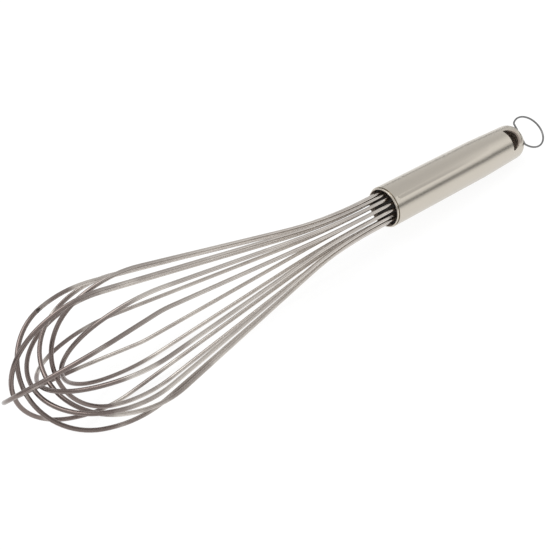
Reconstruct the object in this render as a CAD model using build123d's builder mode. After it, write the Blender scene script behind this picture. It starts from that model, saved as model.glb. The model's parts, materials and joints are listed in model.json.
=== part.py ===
from build123d import *
import os
from math import asin, atan2, cos, degrees, hypot, pi, radians, sin, sqrt, tan

# A balloon whisk: eight nested wire loops in a steel tube handle with a hanging ring.
# Everything is drawn about the handle's axis: X runs from the mouth along the handle, the cage of
# loops lies on the other side of the mouth, and Z points at the loops' first plane. At the end
# the whole whisk is laid on a table, where two neighbouring wires and the handle's end carry it.

# Handle tube
handle_diameter = 26.0
handle_wall = 1.2
handle_length = 124.0
end_diameter = 23.7
dome_height = 4.3
dome_rounding = 4.5
taper_length = 36.0
lip_length = 1.3
lip_step = 0.5
lip_rounding = 0.35
groove_width = 0.45
groove_depth = 0.4

# Half-moon slot in the handle's wall
slot_width = 15.4
slot_height = 7.6
slot_setback = 16.0
slot_angle = 5.0
slot_corner = 0.8

# Stake mark that locks the core
stake_radius = 1.1
stake_depth = 0.3
stake_setback = 5.0

# Wire loops
wire_diameter = 2.2
mouth_circle_radius = 9.15
leg_depth = 29.0
mouth_bend_distance = 41.4
mouth_bend_radius = 280.0
shoulder_radius = 54.0
nose_radius = 35.1
nose_turn = 68.8
longest_reach = 234.9
nest_depth = 27.6
bow_share = 0.75
bow_bend_radius = 62.0
arc_share = 0.96
cage_lean = 0.4

# Each loop in turn, from the longest to the shortest. The step counts its leg's place round the
# mouth, and the two drifts say how far its shoulders and its nose have turned from there, in degrees.
nest_shares = [0.0, 0.17, 0.35, 0.49, 0.6, 0.75, 0.9, 1.0]
mouth_steps = [0, 2, 4, 6, -1, 5, 3, 1]
shoulder_drifts = [1.5, 0.3, 14.4, -8.2, -3.6, -2.8, -14.2, 0.6]
nose_drifts = [-0.4, -4.7, -2.4, -1.4, 1.6, 5.1, -8.0, 0.3]
bow_drift = 8.7

# Core that clamps the legs in the mouth
core_setback = 2.6
core_length = 20.0
core_chamfer = 0.8
leg_clearance = 0.05
core_clearance = 0.05

# Hanging ring, a circle whose ends turn in as two pins
ring_wire_diameter = 1.2
ring_radius = 11.9
pin_spread = 16.4
pin_length = 5.3
pin_bend_radius = 0.9
pin_clearance = 0.05
ring_pivot_setback = 3.2
ring_pivot_height = 9.2
ring_angle = 11.0
ring_skew = 11.0

# How the whisk lies: rolled so that two neighbouring wires share its weight
roll_angle = 39.2
steepest_tilt = 15.0
tilt_tolerance = 0.001

overrun = 5.0

loop_count = len(mouth_steps)
leg_pitch = 180 / loop_count
handle_radius = handle_diameter / 2
bore_radius = handle_radius - handle_wall
end_radius = end_diameter / 2
wire_radius = wire_diameter / 2
pin_radius = ring_wire_diameter / 2


def axis_point(distance, radius, angle):
    """A point ahead of the mouth, at a radius from the axis and an angle about it from Z."""
    turn = radians(angle)
    return Vector(-distance, radius * sin(turn), radius * cos(turn))


def cage_point(distance, radius, angle):
    """A point placed by the cage's own line, which leans off the handle's axis past the mouth bends."""
    drift = max(0, distance - mouth_bend_distance) * tan(radians(cage_lean))
    return axis_point(distance, radius, angle) + Vector(0, drift, 0)


def axis_plane(setback, height, angle):
    """A plane over the handle, facing out from the axis, with X along the handle."""
    out = axis_point(0, 1, angle)
    return Plane(origin=Vector(setback, 0, 0) + out * height, x_dir=(1, 0, 0), z_dir=out)


def half_outline(reach):
    """Mouth, shoulder and nose corners of half a loop, as distances from the mouth and radii."""
    turn = radians(nose_turn)
    step = shoulder_radius - nose_radius
    centre_distance = reach - nose_radius - step * cos(turn)
    centre_radius = -step * sin(turn)
    run = centre_distance - mouth_bend_distance
    rise = centre_radius - mouth_circle_radius
    slope = atan2(rise, run) + asin(shoulder_radius / hypot(run, rise))
    shoulder_turn = pi / 2 + slope - turn
    corner_direction = turn + shoulder_turn / 2
    corner_reach = shoulder_radius / cos(shoulder_turn / 2)
    shoulder = (
        centre_distance + corner_reach * cos(corner_direction),
        centre_radius + corner_reach * sin(corner_direction),
    )
    return (mouth_bend_distance, mouth_circle_radius), shoulder, (reach, nose_radius * tan(turn / 2))


def loop_route(index):
    """Corners and bend radii of one loop, from one leg's end to the other's."""
    reach = longest_reach - nest_depth * nest_shares[index]
    mouth, shoulder, nose = half_outline(reach)
    mouth_angle = leg_pitch * mouth_steps[index]
    shoulder_angle = mouth_angle + shoulder_drifts[index]
    nose_angle = mouth_angle + nose_drifts[index]
    stations = [(-leg_depth, mouth_circle_radius, mouth_angle), (*mouth, mouth_angle)]
    if index == 0:
        bow_distance = mouth[0] + bow_share * (shoulder[0] - mouth[0])
        bow_radius = mouth[1] + bow_share * (shoulder[1] - mouth[1])
        stations.append((bow_distance, bow_radius, mouth_angle + bow_drift))
    stations += [(*shoulder, shoulder_angle), (*nose, nose_angle)]
    near = [cage_point(*station) for station in stations]
    far = [cage_point(distance, -radius, angle) for distance, radius, angle in stations]
    corners = near + far[::-1]
    bends = [mouth_bend_radius, shoulder_radius * arc_share, nose_radius * arc_share]
    if index == 0:
        bends.insert(1, bow_bend_radius)
    return corners, bends + bends[::-1]


def loop_path(index):
    """The centre line of one loop."""
    corners, bends = loop_route(index)
    return FilletPolyline(*corners, radius=bends, mode=Mode.PRIVATE)


# Handle: a revolved tube with a taper and a domed end, its wall even all round
with BuildPart() as handle:
    with BuildSketch(Plane.XZ) as outline:
        dome_base = handle_length - dome_height
        taper_start = dome_base - taper_length
        dome_radius = (end_radius**2 + dome_height**2) / (2 * dome_height)
        with BuildLine():
            Polyline((0, 0), (0, handle_radius), (taper_start, handle_radius), (dome_base, end_radius))
            RadiusArc((dome_base, end_radius), (handle_length, 0), dome_radius)
            Line((handle_length, 0), (0, 0))
        make_face()
        dome_corner = outline.vertices().sort_by_distance((dome_base, end_radius))[0]
        fillet(dome_corner, dome_rounding)
    revolve(axis=Axis.X)
    offset(amount=-handle_wall, openings=handle.faces().sort_by(Axis.X)[0])
    with BuildSketch(Plane.YZ):
        Circle(handle_radius + overrun)
        Circle(handle_radius - lip_step, mode=Mode.SUBTRACT)
    extrude(amount=lip_length, mode=Mode.SUBTRACT)
    rim = handle.edges().filter_by(GeomType.CIRCLE).group_by(Axis.X)[0].sort_by(SortBy.RADIUS)[-1]
    fillet(rim, lip_rounding)
    with BuildSketch(Plane.YZ.offset(lip_length - groove_width)):
        Circle(handle_radius + overrun)
        Circle(handle_radius - lip_step - groove_depth, mode=Mode.SUBTRACT)
    extrude(amount=groove_width, mode=Mode.SUBTRACT)

    slot_plane = axis_plane(handle_length - slot_setback, handle_radius + overrun, slot_angle)
    with BuildSketch(slot_plane) as slot:
        with BuildLine():
            ThreePointArc((0, -slot_width / 2), (slot_height, 0), (0, slot_width / 2))
            Line((0, slot_width / 2), (0, -slot_width / 2))
        make_face()
        fillet(slot.vertices(), slot_corner)
    extrude(amount=-handle_radius, mode=Mode.SUBTRACT)
    ring_plane = axis_plane(handle_length - ring_pivot_setback, ring_pivot_height, ring_angle)
    ring_plane = ring_plane.rotated((0, 0, -ring_skew))
    with BuildSketch(Plane(origin=ring_plane.origin, x_dir=ring_plane.x_dir, z_dir=ring_plane.y_dir)):
        Circle(pin_radius + pin_clearance)
    extrude(amount=handle_radius, both=True, mode=Mode.SUBTRACT)
    stake_ball_radius = (stake_radius**2 + stake_depth**2) / (2 * stake_depth)
    stake_plane = axis_plane(stake_setback, handle_radius + stake_ball_radius - stake_depth, slot_angle)
    with Locations(stake_plane):
        Sphere(stake_ball_radius, mode=Mode.SUBTRACT)


def make_wire(path):
    """One wire loop: round wire swept along its centre line."""
    with BuildPart() as wire:
        with BuildSketch(Plane(origin=path @ 0, z_dir=path % 0)):
            Circle(wire_radius)
        sweep(path=path)
    return wire


# Wire loops, from the longest to the shortest
paths = [loop_path(index) for index in range(loop_count)]
wires = [make_wire(path) for path in paths]

# Core: a plug with a hole for each leg
with BuildPart() as wire_core:
    with BuildSketch(Plane.YZ.offset(core_setback)):
        Circle(bore_radius - core_clearance)
    extrude(amount=core_length)
    chamfer(wire_core.edges(), core_chamfer)
    with BuildSketch(Plane.YZ.offset(core_setback - overrun)):
        with PolarLocations(mouth_circle_radius, 2 * loop_count):
            Circle(wire_radius + leg_clearance)
    extrude(amount=core_length + 2 * overrun, mode=Mode.SUBTRACT)

# Hanging ring: the far side of a circle, closed by two pins on its pivot line
with BuildPart() as hanging_ring:
    foot = pin_spread / 2
    centre_distance = sqrt(ring_radius**2 - foot**2)
    foot_turn = degrees(atan2(foot, -centre_distance))
    with BuildLine(ring_plane) as ring_path:
        Line((0, pin_length - foot), (0, -foot))
        CenterArc((centre_distance, 0), ring_radius, -foot_turn, 2 * foot_turn)
        Line((0, foot), (0, foot - pin_length))
        fillet(ring_path.vertices().sort_by_distance(ring_plane.origin)[-2:], pin_bend_radius)
    with BuildSketch(Plane(origin=ring_path.wire() @ 0, z_dir=ring_path.wire() % 0)):
        Circle(pin_radius)
    sweep()


def lean(tilt):
    """The turn that lays the whisk down: rolled about its axis, then tilted handle down."""
    return Rot(0, tilt, 0) * Rot(roll_angle, 0, 0)


def lowest(points, reach, tilt):
    """The height of the lowest of some points, less the reach of the solid around them."""
    return min((lean(tilt) * Pos(point)).position.Z for point in points) - reach


def resting_tilt(cage_points, handle_points):
    """The tilt at which the cage and the handle touch one level surface, found by halving."""
    low, high = 0.0, steepest_tilt
    while high - low > tilt_tolerance:
        tilt = (low + high) / 2
        if lowest(cage_points, wire_radius, tilt) < lowest(handle_points, 0, tilt):
            low = tilt
        else:
            high = tilt
    return (low + high) / 2


# Where the whisk touches the table, and the place of its box's bottom centre
samples = 150
cage_points = [path @ (step / samples) for path in paths for step in range(samples + 1)]
handle_outline = [edge @ (step / samples) for edge in outline.sketch.edges() for step in range(samples + 1)]
handle_points = [axis_point(-point.X, point.Z, 180 + roll_angle) for point in handle_outline]
laid = lean(resting_tilt(cage_points, handle_points))

pieces = {"handle": handle, "wire_core": wire_core, "hanging_ring": hanging_ring}
for index, wire in enumerate(wires):
    pieces[f"wire_{index + 1}"] = wire
boxes = [piece.part.moved(laid).bounding_box() for piece in pieces.values()]
middle_x = (min(box.min.X for box in boxes) + max(box.max.X for box in boxes)) / 2
middle_y = (min(box.min.Y for box in boxes) + max(box.max.Y for box in boxes)) / 2
bottom_z = min(box.min.Z for box in boxes)
placed = Pos(-middle_x, -middle_y, -bottom_z) * laid

os.makedirs("parts", exist_ok=True)
for name, piece in pieces.items():
    solid = piece.part.moved(placed)
    solid.label = name
    export_step(solid, f"parts/{name}.step")
    print(name, "volume", round(solid.volume, 1), "valid", solid.is_valid)

for index, path in enumerate(paths):
    radii = [round(radius, 1) for radius in loop_route(index)[1]]
    print("wire", index + 1, "length", round(path.length, 1), "bend radii", radii)
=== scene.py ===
"""Dresses a balloon whisk: its tube handle, core, wire loops and hanging ring, on a plain stage."""

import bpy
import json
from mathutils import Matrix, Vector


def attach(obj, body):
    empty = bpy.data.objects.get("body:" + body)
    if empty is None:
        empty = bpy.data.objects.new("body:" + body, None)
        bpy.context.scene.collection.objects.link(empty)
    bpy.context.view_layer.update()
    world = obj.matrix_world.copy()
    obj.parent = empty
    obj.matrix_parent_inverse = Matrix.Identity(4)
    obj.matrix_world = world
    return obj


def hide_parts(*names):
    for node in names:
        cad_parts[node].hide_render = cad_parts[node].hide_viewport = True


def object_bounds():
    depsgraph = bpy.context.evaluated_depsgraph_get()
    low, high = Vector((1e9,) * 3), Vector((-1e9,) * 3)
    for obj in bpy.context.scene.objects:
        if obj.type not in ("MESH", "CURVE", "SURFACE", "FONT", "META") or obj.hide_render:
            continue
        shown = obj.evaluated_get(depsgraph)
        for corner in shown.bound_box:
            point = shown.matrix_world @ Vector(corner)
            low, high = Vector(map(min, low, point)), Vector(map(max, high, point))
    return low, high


bl_info = {
    "name": "Balloon Whisk",
    "version": (1, 0, 0),
    "blender": (4, 5, 0),
    "location": "View3D > Sidebar > Whisk",
    "description": "Steel finishes and a studio stage for a balloon whisk",
    "category": "Object",
}

import json
import math

import bmesh
import bpy
from bpy.props import FloatProperty, FloatVectorProperty, PointerProperty
from mathutils import Matrix, Vector
from mathutils.kdtree import KDTree

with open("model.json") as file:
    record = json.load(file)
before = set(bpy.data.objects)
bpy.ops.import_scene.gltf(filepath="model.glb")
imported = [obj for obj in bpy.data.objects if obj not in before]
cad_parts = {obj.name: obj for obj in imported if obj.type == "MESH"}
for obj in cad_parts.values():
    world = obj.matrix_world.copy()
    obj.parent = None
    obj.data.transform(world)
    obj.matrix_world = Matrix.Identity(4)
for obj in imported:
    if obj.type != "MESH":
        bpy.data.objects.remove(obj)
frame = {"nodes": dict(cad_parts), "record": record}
CAD_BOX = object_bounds()

MOUNTS = {mount["name"]: mount for mount in frame["record"]["mounts"]}
GRIP = MOUNTS["handle_grip"]
HANDLE_AXIS = Vector(GRIP["axis"]).normalized()
GRIP_MIDDLE = Vector(GRIP["pos_m"])
WIRE_NODES = sorted(name for name in frame["nodes"] if name.startswith("wire_") and name != "wire_core")
MERGE_DISTANCE = 2e-6
CREASE_ANGLE = math.radians(40)

# Cosines below which a normal counts as looking back towards the mouth, or in towards the axis
LOOKS_BACK, LOOKS_IN = -0.5, -0.6

# Places of the Mix node's sockets for colours
MIX_FACTOR, MIX_FIRST, MIX_SECOND = 0, 6, 7
MIX_COLOUR = 2

# Grains per metre along X, Y and Z of each material's noise
CLOUDS = (28.0, 70.0, 70.0)
SCRATCHES = (900.0, 60.0, 60.0)
TINT_PATCHES = (38.0, 38.0, 38.0)
OXIDE_GRAINS = (260.0, 260.0, 260.0)
SPARK_GRAINS = (2500.0, 2500.0, 2500.0)

# Length of a brushed line over its width
BRUSH_LENGTH_TO_WIDTH = 40

# Noise levels between which a scratch, and a brown patch of tint and painted shade, sets in
SCRATCH_START, SCRATCH_END = 0.68, 0.78
PATCH_START, PATCH_END = 0.4, 0.58

# Distances behind the nose over which the brown tint and its painted shade fade, and over which its patches
# thin out
NOSE_SHADE_START, NOSE_SHADE_END = 0.03, 0.12
TIP_SHADE_START, TIP_SHADE_END = 0.02, 0.07

# Share of the tint in a patch far from the nose, and near it where it is mostly painted shade of the crowded
# wires, and what the tip adds to the patches' noise
TINT_LEAST, TINT_AND_SHADE_MOST = 0.15, 0.9
TIP_SHADE_EXTRA = 0.16

# Brightness of the light tent's two walls, from level (0) to straight up (1)
NEAR_WALL = [(0, 0.7), (0.1, 0.6), (0.15, 0.05), (0.25, 0.05), (0.34, 0.8), (0.43, 1), (0.53, 1), (0.64, 0.6)]
FAR_WALL = [(0, 0.05), (0.05, 0.05), (0.13, 0.72), (0.6, 0.6)]

# Sideways part of the direction over which the near wall gives way to the far one
NEAR_END, FAR_START = -0.1, 0.2


class WhiskFinish(bpy.types.PropertyGroup):
    """Colours and surface sizes of the whisk's materials."""

    handle_colour: FloatVectorProperty(
        name="Handle colour",
        description="Satin steel of the tube",
        subtype="COLOR",
        default=(0.61, 0.565, 0.495),
    )
    handle_roughness: FloatProperty(
        name="Handle roughness",
        description="Blur of the satin tube",
        subtype="FACTOR",
        default=0.2,
        min=0,
        max=1,
    )
    # Dull inside of the tube, its darker brown partly painted shade in the bore
    bore_colour_and_shade: FloatVectorProperty(
        name="Bore colour",
        description="Dull scale inside the tube",
        subtype="COLOR",
        default=(0.5, 0.42, 0.36),
    )
    brush_pitch: FloatProperty(
        name="Brush pitch",
        description="Width of one brushed line",
        unit="LENGTH",
        default=0.00022,
        precision=5,
    )
    wire_colour: FloatVectorProperty(
        name="Wire colour",
        description="Polished spring wire",
        subtype="COLOR",
        default=(0.63, 0.585, 0.54),
    )
    # Brown tint of the wire patches, near the nose mostly painted shade where the loops crowd together
    wire_tint_and_nose_shade: FloatVectorProperty(
        name="Wire tint",
        description="Browned steel round the nose",
        subtype="COLOR",
        default=(0.17, 0.13, 0.12),
    )
    wire_roughness: FloatProperty(
        name="Wire roughness",
        description="Blur of the drawn wire",
        subtype="FACTOR",
        default=0.13,
        min=0,
        max=1,
    )
    ring_colour: FloatVectorProperty(
        name="Ring colour",
        description="Dull wire of the hanging ring",
        subtype="COLOR",
        default=(0.24, 0.24, 0.24),
    )
    core_colour: FloatVectorProperty(
        name="Core colour",
        description="Dark plastic of the core",
        subtype="COLOR",
        default=(0.022, 0.015, 0.011),
    )


class WhiskStage(bpy.types.PropertyGroup):
    """Camera, floor and lights round the whisk."""

    camera_place: FloatVectorProperty(
        name="Camera place",
        description="Where the lens is",
        subtype="TRANSLATION",
        default=(-0.1797, -0.2108, 0.2993),
    )
    camera_aim: FloatVectorProperty(
        name="Camera aim",
        description="Point in the middle of the picture",
        subtype="TRANSLATION",
        default=(-0.0251, 0.0147, 0.0),
    )
    camera_roll: FloatProperty(
        name="Camera roll",
        description="Turn about the line of sight",
        subtype="ANGLE",
        default=math.radians(-4.38),
    )
    lens: FloatProperty(
        name="Lens",
        description="Focal length in millimetres",
        default=44.34,
    )
    floor_size: FloatProperty(
        name="Floor size",
        description="Side of the floor",
        unit="LENGTH",
        default=8.0,
    )
    floor_shade: FloatProperty(
        name="Floor shade",
        description="Share of light the floor scatters",
        default=0.2,
    )
    floor_glow: FloatProperty(
        name="Floor glow",
        description="White the floor adds where it is seen",
        default=0.86,
    )
    lamp_power: FloatProperty(
        name="Lamp power",
        description="Power of the soft lamp in watts",
        default=9.0,
    )
    lamp_size: FloatProperty(
        name="Lamp size",
        description="Side of the soft lamp",
        unit="LENGTH",
        default=1.2,
    )
    lamp_place: FloatVectorProperty(
        name="Lamp place",
        description="Middle of the soft lamp",
        subtype="TRANSLATION",
        default=(-0.5, 0.5, 1.5),
    )
    tent_strength: FloatProperty(
        name="Tent strength",
        description="Brightness of the light tent",
        default=1.18,
    )


class Signal:
    """A shader value: sums and products of signals become Math nodes."""

    def __init__(self, recipe, socket):
        self.recipe = recipe
        self.socket = socket

    def maths(self, operation, *values):
        return self.recipe.node("Math", {"operation": operation}, dict(enumerate(values)))

    def __add__(self, other):
        return self.maths("ADD", self, other)

    def __sub__(self, other):
        return self.maths("SUBTRACT", self, other)

    def __rsub__(self, other):
        return self.maths("SUBTRACT", other, self)

    def __mul__(self, other):
        return self.maths("MULTIPLY", self, other)

    __radd__ = __add__


class Recipe:
    """The node tree of a material or world, built a node at a time."""

    def __init__(self, owner):
        owner.use_nodes = True
        self.tree = owner.node_tree
        self.tree.nodes.clear()

    def node(self, kind, settings=None, inputs=None, output=0):
        """Adds a node, sets it up, feeds its sockets and returns one of its outputs."""
        made = self.tree.nodes.new("ShaderNode" + kind)
        for name, value in (settings or {}).items():
            if name == "stops":
                self.fill_ramp(made.color_ramp, value)
            else:
                setattr(made, name, value)
        for key, value in (inputs or {}).items():
            if isinstance(value, Signal):
                self.tree.links.new(value.socket, made.inputs[key])
            else:
                made.inputs[key].default_value = value
        return Signal(self, made.outputs[output]) if made.outputs else made

    @staticmethod
    def fill_ramp(ramp, stops):
        """Sets a ramp's places and grey levels."""
        while len(ramp.elements) < len(stops):
            ramp.elements.new(1)
        for element, (place, level) in zip(ramp.elements, stops):
            element.position = place
            element.color = (level, level, level, 1)

    def fade(self, value, start, end):
        """0 before start, 1 past end, and smooth between them."""
        return self.node(
            "MapRange",
            {"interpolation_type": "SMOOTHSTEP"},
            {"Value": value, "From Min": start, "From Max": end},
        )

    def blend(self, share, first, second):
        """A colour between two colours."""
        inputs = {MIX_FACTOR: share, MIX_FIRST: opaque(first), MIX_SECOND: opaque(second)}
        return self.node("Mix", {"data_type": "RGBA"}, inputs, output=MIX_COLOUR)

    def finish(self, shader):
        """Ends the tree in its output."""
        kind = "OutputWorld" if self.tree.id_data is bpy.context.scene.world else "OutputMaterial"
        self.node(kind, inputs={"Surface": shader})


def opaque(colour):
    """A colour as its socket takes it."""
    return colour if isinstance(colour, Signal) else (*colour, 1)


def shaded(colour, share):
    """A colour at a share of its brightness."""
    return [level * share for level in colour]


def new_recipe(name):
    """A new material and its empty node tree."""
    material = bpy.data.materials.new(name)
    return material, Recipe(material)


def along_handle(recipe):
    """Object coordinates turned so that X runs along the handle's axis, with zero at the grip's middle."""
    turn = HANDLE_AXIS.rotation_difference(Vector((1, 0, 0)))
    place = recipe.node("TexCoord", output="Object")
    moved = recipe.node("VectorMath", {"operation": "SUBTRACT"}, {0: place, 1: GRIP_MIDDLE})
    return recipe.node("Mapping", {}, {"Vector": moved, "Rotation": turn.to_euler()})


def stretched_noise(recipe, place, scales, detail):
    """Noise whose grain is finer along the axes with the larger scales."""
    scaled = recipe.node("VectorMath", {"operation": "MULTIPLY"}, {0: place, 1: scales})
    return recipe.node("TexNoise", {}, {"Vector": scaled, "Scale": 1.0, "Detail": detail})


def handle_steel(finish):
    """Satin tube, brushed round, faintly cloudy and scratched outside, and left dull and darker brown inside,
    the darker tone partly painted shade.
    """
    material, recipe = new_recipe("handle_steel")
    place = along_handle(recipe)
    across = 1 / finish.brush_pitch
    along = across / BRUSH_LENGTH_TO_WIDTH
    brushed = stretched_noise(recipe, place, (across, along, along), detail=2.0)
    cloudy = stretched_noise(recipe, place, CLOUDS, detail=2.0)
    scratchy = stretched_noise(recipe, place, SCRATCHES, detail=0.0)
    scratched = recipe.fade(scratchy, SCRATCH_START, SCRATCH_END)
    outside = recipe.blend(cloudy, shaded(finish.handle_colour, 0.94), finish.handle_colour)
    inside = recipe.node("Attribute", {"attribute_name": "inside"}, output="Fac")
    # Partly painted shade: the tube's inner faces take the darker, browner bore colour
    colour = recipe.blend(inside, outside, finish.bore_colour_and_shade)
    height = brushed * 0.7 + cloudy * 0.1 - scratched * 0.3
    bump = recipe.node("Bump", {}, {"Strength": 0.16, "Distance": 2e-5, "Height": height})
    inputs = {
        "Base Color": colour,
        "Metallic": 1 - inside * 0.9,
        "Roughness": finish.handle_roughness + brushed * 0.06 + cloudy * 0.04 + inside * 0.4,
        "Normal": bump,
    }
    recipe.finish(recipe.node("BsdfPrincipled", {}, inputs))
    return material


def wire_steel(finish):
    """Polished drawn wire with brown patches, darkened towards the nose by painted shade where the loops
    crowd together.
    """
    material, recipe = new_recipe("wire_steel")
    place = recipe.node("TexCoord", output="Object")
    forward = recipe.node("SeparateXYZ", {}, {"Vector": place}, output="X")
    patchy = stretched_noise(recipe, place, TINT_PATCHES, detail=2.0)
    nose = CAD_BOX[0].x
    # Painted shade: the tint thickens and darkens towards the nose, where the loops crowd and shade one
    # another
    nose_shade = 1 - recipe.fade(forward, nose + NOSE_SHADE_START, nose + NOSE_SHADE_END)
    tip_shade = 1 - recipe.fade(forward, nose + TIP_SHADE_START, nose + TIP_SHADE_END)
    patched = recipe.fade(patchy + tip_shade * TIP_SHADE_EXTRA, PATCH_START, PATCH_END)
    tint_and_shade = patched * (nose_shade * (TINT_AND_SHADE_MOST - TINT_LEAST) + TINT_LEAST)
    colour = recipe.blend(tint_and_shade, finish.wire_colour, finish.wire_tint_and_nose_shade)
    inputs = {"Base Color": colour, "Metallic": 1.0, "Roughness": finish.wire_roughness + tint_and_shade * 0.1}
    recipe.finish(recipe.node("BsdfPrincipled", {}, inputs))
    return material


def ring_steel(finish):
    """Dull thin wire with a grey oxide film."""
    material, recipe = new_recipe("ring_steel")
    place = recipe.node("TexCoord", output="Object")
    film = stretched_noise(recipe, place, OXIDE_GRAINS, detail=2.0)
    colour = recipe.blend(film, shaded(finish.ring_colour, 0.8), finish.ring_colour)
    bump = recipe.node("Bump", {}, {"Strength": 0.2, "Distance": 1e-5, "Height": film})
    inputs = {"Base Color": colour, "Metallic": 1.0, "Roughness": film * 0.15 + 0.28, "Normal": bump}
    recipe.finish(recipe.node("BsdfPrincipled", {}, inputs))
    return material


def core_plastic(finish):
    """Dark moulded plastic with a fine spark texture."""
    material, recipe = new_recipe("core_plastic")
    place = recipe.node("TexCoord", output="Object")
    spark = stretched_noise(recipe, place, SPARK_GRAINS, detail=1.0)
    colour = recipe.blend(spark, shaded(finish.core_colour, 0.7), finish.core_colour)
    bump = recipe.node("Bump", {}, {"Strength": 0.3, "Distance": 3e-5, "Height": spark})
    recipe.finish(recipe.node("BsdfPrincipled", {}, {"Base Color": colour, "Roughness": 0.6, "Normal": bump}))
    return material


def merged_copy(node):
    """A bmesh of a solid's faces, with their shared points merged."""
    shape = bmesh.new()
    shape.from_mesh(frame["nodes"][node].data)
    bmesh.ops.remove_doubles(shape, verts=shape.verts, dist=MERGE_DISTANCE)
    return shape


def mark_creases(shape):
    """Keeps an edge sharp where two faces meet at more than the crease angle."""
    for edge in shape.edges:
        if len(edge.link_faces) == 2 and edge.calc_face_angle(0) > CREASE_ANGLE:
            edge.smooth = False


def surface_normals(node, mesh):
    """The solid's own normals at the points of its merged copy."""
    source = frame["nodes"][node].data
    tree = KDTree(len(source.loops))
    for corner in source.loops:
        tree.insert(source.vertices[corner.vertex_index].co, corner.index)
    tree.balance()
    return [source.corner_normals[tree.find(vertex.co)[1]].vector for vertex in mesh.vertices]


def make_piece(name, shape, node, body, material, seamless=False):
    """Turns a bmesh into the piece that stands for a solid; a seamless one has no creases."""
    for face in shape.faces:
        face.smooth = True
    if not seamless:
        mark_creases(shape)
    mesh = bpy.data.meshes.new(name)
    shape.to_mesh(mesh)
    shape.free()
    if seamless:
        mesh.normals_split_custom_set_from_vertices(surface_normals(node, mesh))
    mesh.materials.append(material)
    piece = bpy.data.objects.new(name, mesh)
    bpy.context.scene.collection.objects.link(piece)
    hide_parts(node)
    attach(piece, body)


def store_inside(shape):
    """Marks the points of the tube's inner face, which looks towards the axis or back towards the mouth."""
    shape.normal_update()
    layer = shape.verts.layers.float.new("inside")
    for vert in shape.verts:
        offset = vert.co - GRIP_MIDDLE
        ahead = offset.dot(HANDLE_AXIS)
        outward = (offset - HANDLE_AXIS * ahead).normalized()
        looks_back = vert.normal.dot(HANDLE_AXIS) < LOOKS_BACK and ahead > 0
        vert[layer] = float(vert.normal.dot(outward) < LOOKS_IN or looks_back)


class WHISK_OT_handle(bpy.types.Operator):
    """Dresses the tube handle"""

    bl_idname = "whisk.handle"
    bl_label = "Handle"

    def execute(self, context):
        steel = handle_steel(context.scene.whisk_finish)
        shape = merged_copy("handle")
        store_inside(shape)
        make_piece("handle_tube", shape, "handle", "whisk", steel)
        return {"FINISHED"}


class WHISK_OT_core(bpy.types.Operator):
    """Dresses the core that holds the wires"""

    bl_idname = "whisk.core"
    bl_label = "Core"

    def execute(self, context):
        plastic = core_plastic(context.scene.whisk_finish)
        make_piece("core_plug", merged_copy("wire_core"), "wire_core", "whisk", plastic)
        return {"FINISHED"}


class WHISK_OT_wires(bpy.types.Operator):
    """Dresses the wire loops"""

    bl_idname = "whisk.wires"
    bl_label = "Wires"

    def execute(self, context):
        steel = wire_steel(context.scene.whisk_finish)
        for node in WIRE_NODES:
            name = node.replace("wire", "wire_loop")
            make_piece(name, merged_copy(node), node, "whisk", steel, seamless=True)
        return {"FINISHED"}


class WHISK_OT_ring(bpy.types.Operator):
    """Dresses the hanging ring"""

    bl_idname = "whisk.ring"
    bl_label = "Ring"

    def execute(self, context):
        steel = ring_steel(context.scene.whisk_finish)
        shape = merged_copy("hanging_ring")
        make_piece("ring_wire", shape, "hanging_ring", "ring", steel, seamless=True)
        return {"FINISHED"}


def add_camera(stage):
    """The camera at the photograph's place and angle."""
    data = bpy.data.cameras.new("camera")
    data.lens = stage.lens
    data.clip_start = 0.01
    camera = bpy.data.objects.new("camera", data)
    place = Vector(stage.camera_place)
    sight = (Vector(stage.camera_aim) - place).to_track_quat("-Z", "Y").to_matrix().to_4x4()
    camera.matrix_world = Matrix.Translation(place) @ sight @ Matrix.Rotation(stage.camera_roll, 4, "Z")
    bpy.context.scene.collection.objects.link(camera)
    bpy.context.scene.camera = camera


def seen_directly(recipe):
    """1 for rays from the camera, or off metal or through glass, and 0 for light that falls on things."""
    rays = ("Is Camera Ray", "Is Glossy Ray", "Is Transmission Ray")
    direct, glossy, through = (recipe.node("LightPath", output=ray) for ray in rays)
    return direct.maths("MAXIMUM", direct.maths("MAXIMUM", direct, glossy), through)


def floor_paper(stage):
    """White paper that glows enough to read as white and still takes a shadow."""
    material, recipe = new_recipe("floor_paper")
    diffuse = recipe.node("BsdfDiffuse", {}, {"Color": opaque([stage.floor_shade] * 3)})
    glow = recipe.node("Emission", {}, {"Strength": seen_directly(recipe) * stage.floor_glow})
    recipe.finish(recipe.node("AddShader", {}, {0: diffuse, 1: glow}))
    return material


def add_floor(stage):
    """A plain pale floor."""
    shape = bmesh.new()
    bmesh.ops.create_grid(shape, x_segments=1, y_segments=1, size=stage.floor_size / 2)
    mesh = bpy.data.meshes.new("floor")
    shape.to_mesh(mesh)
    shape.free()
    mesh.materials.append(floor_paper(stage))
    floor = bpy.data.objects.new("floor", mesh)
    bpy.context.scene.collection.objects.link(floor)


def add_lamp(stage):
    """One large soft lamp, turned towards the whisk."""
    data = bpy.data.lights.new("soft_lamp", "AREA")
    data.size = stage.lamp_size
    data.energy = stage.lamp_power
    lamp = bpy.data.objects.new("soft_lamp", data)
    place = Vector(stage.lamp_place)
    lamp.matrix_world = Matrix.Translation(place) @ place.to_track_quat("Z", "Y").to_matrix().to_4x4()
    bpy.context.scene.collection.objects.link(lamp)


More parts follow.
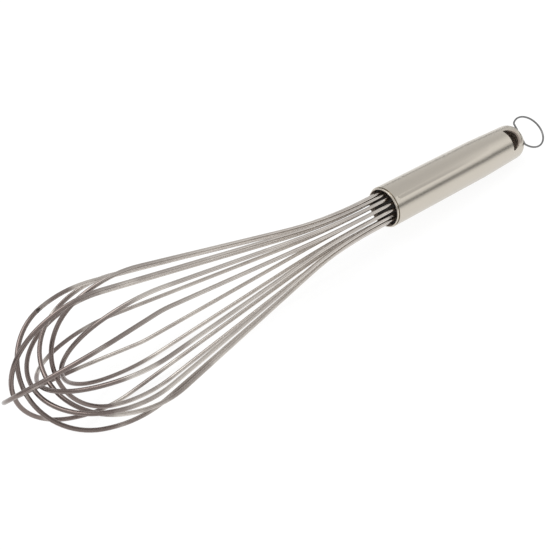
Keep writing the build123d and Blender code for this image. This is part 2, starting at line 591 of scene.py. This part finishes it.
def light_world(stage):
    """A light tent: white to the eye, its near wall bright over a dark gap, its top and far wall dimmer."""
    world = bpy.data.worlds.new("tent")
    bpy.context.scene.world = world
    recipe = Recipe(world)
    direction = recipe.node("TexCoord", output="Generated")
    height = recipe.node("SeparateXYZ", {}, {"Vector": direction}, output="Z")
    near = recipe.node("ValToRGB", {"stops": NEAR_WALL}, {"Fac": height})
    far = recipe.node("ValToRGB", {"stops": FAR_WALL}, {"Fac": height})
    sideways = recipe.node("SeparateXYZ", {}, {"Vector": direction}, output="Y")
    tent = recipe.blend(recipe.fade(sideways, NEAR_END, FAR_START), near, far)
    camera_ray = recipe.node("LightPath", output="Is Camera Ray")
    colour = recipe.blend(camera_ray, tent, (1, 1, 1))
    strength = stage.tent_strength - camera_ray * (stage.tent_strength - 1)
    recipe.finish(recipe.node("Background", {}, {"Color": colour, "Strength": strength}))


class WHISK_OT_stage(bpy.types.Operator):
    """Sets up the floor, the light and the camera"""

    bl_idname = "whisk.stage"
    bl_label = "Stage"

    def execute(self, context):
        stage = context.scene.whisk_stage
        context.scene.view_settings.view_transform = "Standard"
        add_floor(stage)
        add_lamp(stage)
        light_world(stage)
        add_camera(stage)
        return {"FINISHED"}


STEPS = (WHISK_OT_stage, WHISK_OT_handle, WHISK_OT_core, WHISK_OT_wires, WHISK_OT_ring)


class WHISK_PT_build(bpy.types.Panel):
    """Lists the steps and the sizes of the whisk"""

    bl_label = "Whisk"
    bl_space_type = "VIEW_3D"
    bl_region_type = "UI"
    bl_category = "Whisk"

    def draw(self, context):
        for step in STEPS:
            self.layout.operator(step.bl_idname)
        for group in (context.scene.whisk_finish, context.scene.whisk_stage):
            box = self.layout.box()
            for name in group.__annotations__:
                box.prop(group, name)


CLASSES = (WhiskFinish, WhiskStage, *STEPS, WHISK_PT_build)


def register():
    for item in CLASSES:
        bpy.utils.register_class(item)
    bpy.types.Scene.whisk_finish = PointerProperty(type=WhiskFinish)
    bpy.types.Scene.whisk_stage = PointerProperty(type=WhiskStage)


def unregister():
    del bpy.types.Scene.whisk_stage
    del bpy.types.Scene.whisk_finish
    for item in reversed(CLASSES):
        bpy.utils.unregister_class(item)


def main():
    """Builds everything in order."""
    register()
    bpy.ops.whisk.stage()
    bpy.ops.whisk.handle()
    bpy.ops.whisk.core()
    bpy.ops.whisk.wires()
    bpy.ops.whisk.ring()


if __name__ == "__main__":
    main()
